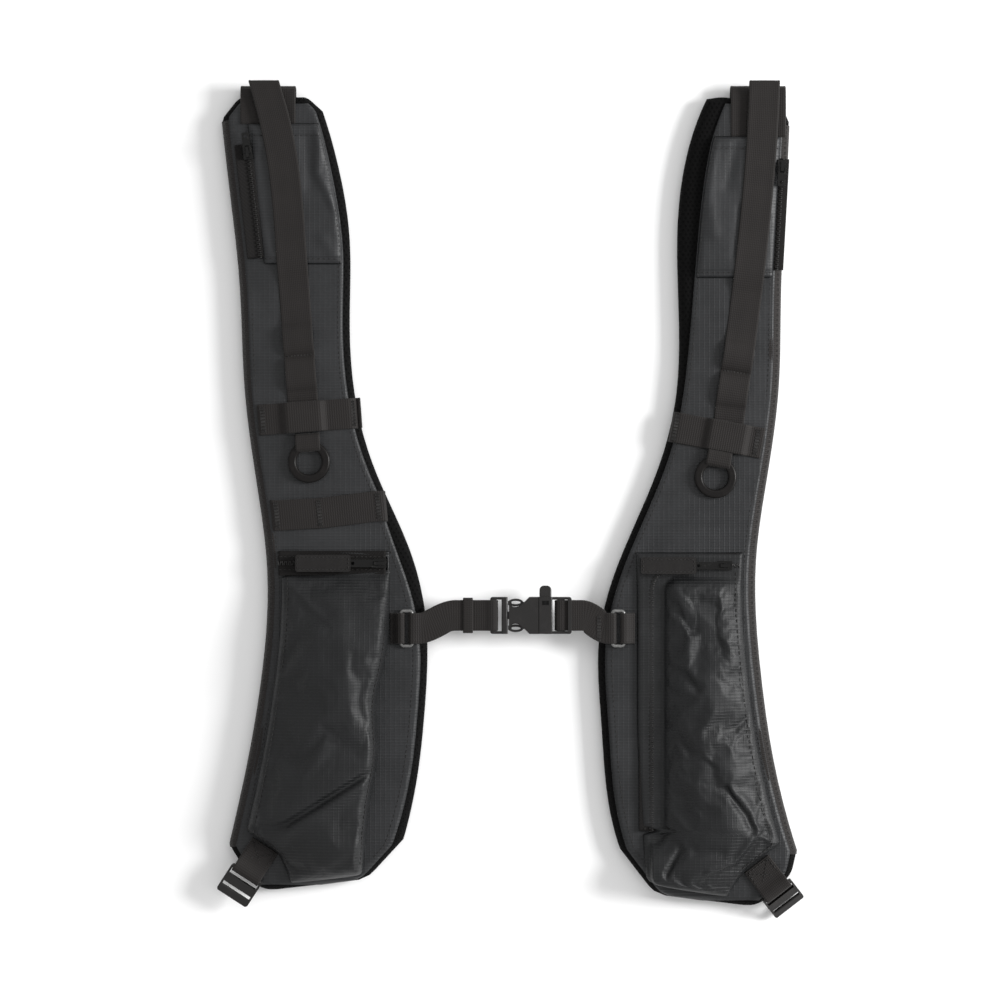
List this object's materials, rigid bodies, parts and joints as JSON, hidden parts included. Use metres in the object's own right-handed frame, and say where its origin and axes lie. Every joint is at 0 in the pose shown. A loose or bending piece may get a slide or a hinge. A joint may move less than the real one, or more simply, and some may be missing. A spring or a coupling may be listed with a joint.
{
  "type": "backpack shoulder strap pair with sternum strap",
  "caption": "Pair of padded pack shoulder straps with zipped pockets, gear rings and ladder locks, joined by a buckled sternum strap with whistle.",
  "frame": {"origin": "middle of the footprint, at the height of the straps' back faces", "axes": "+X across the pair towards the strap named right, +Y along the straps towards the shoulder end, +Z away from the wearer's body"},
  "size_m": [0.3833, 0.5471, 0.0339],
  "materials": {
    "spacer_mesh": "matte knitted mesh",
    "foam": "matte closed-cell foam",
    "face_fabric": "coated ripstop, slightly shiny",
    "binding_tape": "grosgrain",
    "webbing": "woven webbing",
    "zip_tape": "coil zip",
    "pull_fabric": "woven tape",
    "black_plastic": "moulded acetal",
    "slider_metal": "painted die-cast",
    "grey_metal": "satin grey"
  },
  "bodies": {
    "left_strap": {"left_back_mesh": "spacer_mesh", "left_cross_band": "webbing", "left_daisy_webbing": "webbing", "left_edge_binding": "binding_tape", "left_face_panel": "face_fabric", "left_foam_core": "foam", "left_ladder_tab": "webbing", "left_lower_band": "webbing", "left_mesh_wrap": "spacer_mesh", "left_pocket": "face_fabric", "left_pocket_zip": "zip_tape", "left_stash_panel": "face_fabric", "left_stash_zip": "zip_tape", "left_sternum_tab": "webbing", "left_yoke_loop": "webbing"},
    "left_loop": {"left_sternum_loop": "grey_metal"},
    "sternum_left": {"sternum_webbing_left": "webbing", "keeper": "pull_fabric", "buckle_male": "black_plastic"},
    "buckle_arm_upper": {"buckle_arm_upper": "black_plastic"},
    "buckle_arm_lower": {"buckle_arm_lower": "black_plastic"},
    "sternum_right": {"sternum_webbing_right": "webbing", "buckle_female": "black_plastic", "whistle": "black_plastic"},
    "right_loop": {"right_sternum_loop": "grey_metal"},
    "right_strap": {"right_back_mesh": "spacer_mesh", "right_cross_band": "webbing", "right_daisy_webbing": "webbing", "right_edge_binding": "binding_tape", "right_face_panel": "face_fabric", "right_foam_core": "foam", "right_ladder_tab": "webbing", "right_mesh_wrap": "spacer_mesh", "right_pocket": "face_fabric", "right_pocket_zip": "zip_tape", "right_stash_panel": "face_fabric", "right_stash_zip": "zip_tape", "right_sternum_tab": "webbing", "right_yoke_loop": "webbing"},
    "left_ring_drop": {"left_ring": "black_plastic", "left_ring_tab": "webbing"},
    "left_stash_slider": {"left_stash_slider": "slider_metal"},
    "left_stash_puller": {"left_stash_puller": "slider_metal"},
    "left_zip_slider": {"left_zip_slider": "slider_metal"},
    "left_zip_puller": {"left_zip_puller": "slider_metal", "left_zip_tab": "pull_fabric"},
    "left_ladder_lock": {"left_ladder_lock": "black_plastic"},
    "right_ring_drop": {"right_ring": "black_plastic", "right_ring_tab": "webbing"},
    "right_stash_slider": {"right_stash_slider": "slider_metal"},
    "right_stash_puller": {"right_stash_puller": "slider_metal"},
    "right_zip_slider": {"right_zip_slider": "slider_metal"},
    "right_zip_puller": {"right_zip_puller": "slider_metal", "right_zip_tab": "pull_fabric"},
    "right_ladder_lock": {"right_ladder_lock": "black_plastic"}
  },
  "joints": [
    {"name": "left_ring_lift", "type": "hinge", "parent": "left_strap", "child": "left_ring_drop", "pos_m": [-0.133, 0.04484, 0.0167], "axis": [-0.9973, -0.0733, 0], "range_deg": [0, 100]},
    {"name": "left_stash_zip_slide", "type": "slide", "parent": "left_strap", "child": "left_stash_slider", "axis": [0.117, -0.9931, 0], "range_m": [0, 0.063]},
    {"name": "left_stash_pull", "type": "hinge", "parent": "left_stash_slider", "child": "left_stash_puller", "pos_m": [-0.17152, 0.22683, 0.01935], "axis": [0.9931, 0.117, 0], "range_deg": [0, 150]},
    {"name": "left_pocket_zip_slide", "type": "slide", "parent": "left_strap", "child": "left_zip_slider", "axis": [-1, 0, 0], "range_m": [0, 0.06]},
    {"name": "left_pocket_pull", "type": "hinge", "parent": "left_zip_slider", "child": "left_zip_puller", "pos_m": [-0.0855, -0.0407, 0.02005], "axis": [0, 1, 0], "range_deg": [0, 150]},
    {"name": "left_lock_swing", "type": "hinge", "parent": "left_strap", "child": "left_ladder_lock", "pos_m": [-0.1721, -0.2432, 0.0159], "axis": [-0.8387, 0.5446, 0], "range_deg": [0, 100]},
    {"name": "right_ring_lift", "type": "hinge", "parent": "right_strap", "child": "right_ring_drop", "pos_m": [0.1366, 0.0326, 0.0167], "axis": [-0.9825, 0.1861, 0], "range_deg": [0, 100]},
    {"name": "right_stash_zip_slide", "type": "slide", "parent": "right_strap", "child": "right_stash_slider", "axis": [-0.0555, -0.9985, 0], "range_m": [0, 0.062]},
    {"name": "right_stash_pull", "type": "hinge", "parent": "right_stash_slider", "child": "right_stash_puller", "pos_m": [0.17682, 0.21781, 0.01765], "axis": [-0.9985, 0.0555, 0], "range_deg": [0, 150]},
    {"name": "right_pocket_zip_slide", "type": "slide", "parent": "right_strap", "child": "right_zip_slider", "axis": [-1, 0, 0], "range_m": [0, 0.026]},
    {"name": "right_pocket_pull", "type": "hinge", "parent": "right_zip_slider", "child": "right_zip_puller", "pos_m": [0.1395, -0.0422, 0.02005], "axis": [0, 1, 0], "range_deg": [0, 150]},
    {"name": "right_lock_swing", "type": "hinge", "parent": "right_strap", "child": "right_ladder_lock", "pos_m": [0.1735, -0.2542, 0.0159], "axis": [-0.7912, -0.6115, 0], "range_deg": [0, 100]},
    {"name": "left_loop_hinge", "type": "hinge", "parent": "left_strap", "child": "left_loop", "pos_m": [-0.0718, -0.0832, 0.0162], "axis": [0, -1, 0], "range_deg": [0, 30]},
    {"name": "left_web_hinge", "type": "hinge", "parent": "left_loop", "child": "sternum_left", "pos_m": [-0.0644, -0.0832, 0.0162], "axis": [0, -1, 0], "range_deg": [0, 45]},
    {"name": "buckle_release", "type": "slide", "parent": "sternum_left", "child": "sternum_right", "axis": [1, 0, 0], "range_m": [0, 0.045]},
    {"name": "buckle_arm_upper_squeeze", "type": "hinge", "parent": "sternum_left", "child": "buckle_arm_upper", "pos_m": [-0.0015, -0.0667, 0.0162], "axis": [0, 0, -1], "range_deg": [0, 4], "stiffness_Nm_per_rad": 0.2},
    {"name": "buckle_arm_lower_squeeze", "type": "hinge", "parent": "sternum_left", "child": "buckle_arm_lower", "pos_m": [-0.0015, -0.0827, 0.0162], "axis": [0, 0, 1], "range_deg": [0, 4], "stiffness_Nm_per_rad": 0.2},
    {"name": "right_web_hinge", "type": "hinge", "parent": "sternum_right", "child": "right_loop", "pos_m": [0.0663, -0.0832, 0.0162], "axis": [0, -1, 0], "range_deg": [0, 45]},
    {"name": "right_loop_hinge", "type": "hinge", "parent": "right_loop", "child": "right_strap", "pos_m": [0.0737, -0.0832, 0.0162], "axis": [0, -1, 0], "range_deg": [0, 30]}
  ],
  "couplings": [
    {"joint": "buckle_arm_lower_squeeze", "follows": "buckle_arm_upper_squeeze", "ratio": 1}
  ]
}
